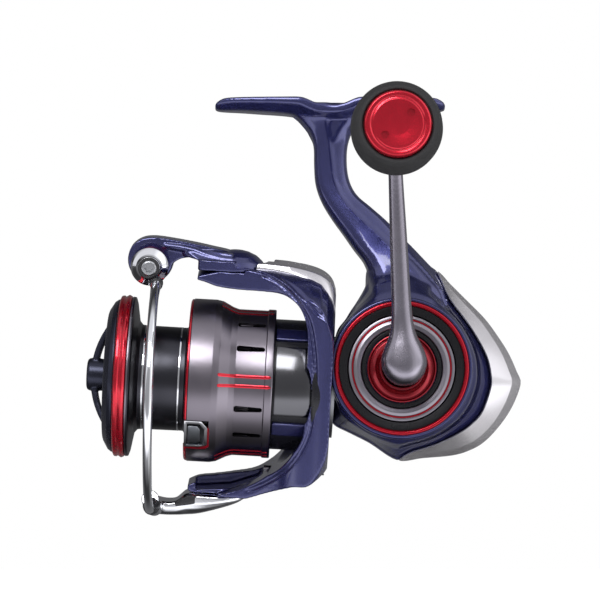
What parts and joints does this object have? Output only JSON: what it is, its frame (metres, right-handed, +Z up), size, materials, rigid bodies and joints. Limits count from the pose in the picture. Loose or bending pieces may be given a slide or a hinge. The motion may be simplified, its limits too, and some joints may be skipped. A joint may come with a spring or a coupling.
{
  "type": "spinning fishing reel",
  "caption": "Spinning reel with folding bail, geared rotor, oscillating spool with front drag, and a cranked side handle with a round foam knob; foot for a rod seat.",
  "frame": {"origin": "centre of the foot's top face, the face that sits on the rod", "axes": "+X forward along the rod towards the spool, +Y out of the handle side, +Z up from the foot into the rod"},
  "size_m": [0.1202, 0.0991, 0.1166],
  "materials": {
    "body_paint": "gloss metallic paint",
    "rotor_paint": "gloss metallic paint",
    "cover_chrome": "polished",
    "black_plastic": "satin",
    "silver_ring": "spun",
    "red_anodised": "anodised",
    "gunmetal": "satin anodised",
    "handle_metal": "polished gun-metal",
    "bail_chrome": "polished",
    "steel": "ground",
    "brass": "machined",
    "gear_alloy": "die-cast",
    "grip_foam": "matt foam",
    "friction_felt": "felt",
    "front_ring": "satin anodised"
  },
  "bodies": {
    "housing": {"main_body": "body_paint", "rear_cover": "cover_chrome", "side_plate": "black_plastic", "side_plate_lock_ring": "red_anodised", "side_plate_face_ring": "silver_ring", "handle_seal": "black_plastic", "side_bearing": "steel", "far_bearing": "steel", "far_side_cap": "gunmetal", "clutch_housing": "gear_alloy", "clutch_cover": "black_plastic", "clutch_housing_screws": "steel", "clutch_outer_ring": "steel", "clutch_rollers": "steel", "pinion_rear_bearing": "steel", "pinion_front_bearing": "steel", "slider_guide_rods": "steel", "oscillating_gear_post": "steel"},
    "crank": {"drive_shaft": "steel", "drive_gear": "gear_alloy", "oscillation_pinion": "brass", "handle_shaft": "steel", "handle_collar": "red_anodised", "handle_arm": "handle_metal", "knob_post": "steel", "knob_screw": "steel"},
    "knob": {"knob_grip": "grip_foam", "knob_cap": "red_anodised", "knob_sleeve": "black_plastic"},
    "rotor": {"rotor": "rotor_paint", "rotor_nut": "brass", "pinion_gear": "brass", "clutch_sleeve": "steel", "bail_spring_post": "black_plastic", "bail_spring": "steel", "bail_pivot_screws": "steel"},
    "bail": {"bail_arm": "rotor_paint", "line_roller_screw": "bail_chrome", "bail_wire_cap": "bail_chrome", "bail_wire": "bail_chrome", "bail_holder": "bail_chrome"},
    "line_roller": {"line_roller": "red_anodised", "line_roller_bearing": "steel"},
    "trip_rod": {"bail_trip_rod": "steel"},
    "shaft": {"main_shaft": "steel", "oscillation_slider": "gear_alloy", "spool_seat_collar": "brass", "drag_keyed_washers": "steel", "drag_pressure_plate": "steel"},
    "spool": {"spool": "gunmetal", "line_clip": "silver_ring", "spool_lip_ring": "red_anodised", "spool_front_ring": "front_ring", "spool_bearings": "steel", "drag_friction_washers": "friction_felt", "drag_retainer_ring": "steel"},
    "drag_knob": {"drag_knob": "front_ring"},
    "drag_nut": {"drag_nut": "brass"},
    "oscillating_gear": {"oscillating_gear": "gear_alloy", "oscillating_crank_pin": "steel"}
  },
  "joints": [
    {"name": "handle_crank", "type": "hinge", "parent": "housing", "child": "crank", "pos_m": [-0.019, 0, -0.0761], "axis": [0, 1, 0], "continuous": true},
    {"name": "knob_spin", "type": "hinge", "parent": "crank", "child": "knob", "pos_m": [-0.01609, 0.06, -0.01667], "axis": [0, 1, 0], "continuous": true},
    {"name": "rotor_spin", "type": "hinge", "parent": "housing", "child": "rotor", "pos_m": [0.00624, 0, -0.07994], "axis": [0.9985, 0, 0.0541], "continuous": true},
    {"name": "oscillating_gear_spin", "type": "hinge", "parent": "housing", "child": "oscillating_gear", "pos_m": [-0.0317, -0.008, -0.08199], "axis": [0, 1, 0], "continuous": true},
    {"name": "spool_stroke", "type": "slide", "parent": "housing", "child": "shaft", "axis": [0.9985, 0, 0.0541], "range_m": [-0.006, 0.006]},
    {"name": "spool_drag", "type": "hinge", "parent": "shaft", "child": "spool", "pos_m": [0.04119, 0, -0.07805], "axis": [0.9985, 0, 0.0541], "continuous": true},
    {"name": "drag_knob_turn", "type": "hinge", "parent": "shaft", "child": "drag_knob", "pos_m": [0.06316, 0, -0.07686], "axis": [0.9985, 0, 0.0541], "range_deg": [-180, 360]},
    {"name": "drag_nut_travel", "type": "slide", "parent": "shaft", "child": "drag_nut", "axis": [0.9985, 0, 0.0541], "range_m": [-0.00026, 0.00052]},
    {"name": "bail_swing", "type": "hinge", "parent": "rotor", "child": "bail", "pos_m": [0.02771, 0, -0.07878], "axis": [0.0529, -0.2079, -0.9767], "range_deg": [0, 105]},
    {"name": "trip_rod_travel", "type": "slide", "parent": "rotor", "child": "trip_rod", "axis": [-0.9985, 0, -0.0541], "range_m": [0, 0.0016]},
    {"name": "line_roller_spin", "type": "hinge", "parent": "bail", "child": "line_roller", "pos_m": [0.04945, 0.01233, -0.04746], "axis": [0.0112, 0.9781, -0.2076], "continuous": true}
  ],
  "couplings": [
    {"joint": "rotor_spin", "follows": "handle_crank", "ratio": -6.1429},
    {"joint": "oscillating_gear_spin", "follows": "handle_crank", "ratio": -0.4},
    {"joint": "drag_nut_travel", "follows": "drag_knob_turn", "m_per_rad": 0.000079577},
    {"joint": "trip_rod_travel", "follows": "bail_swing", "m_per_rad": 0.00085}
  ]
}
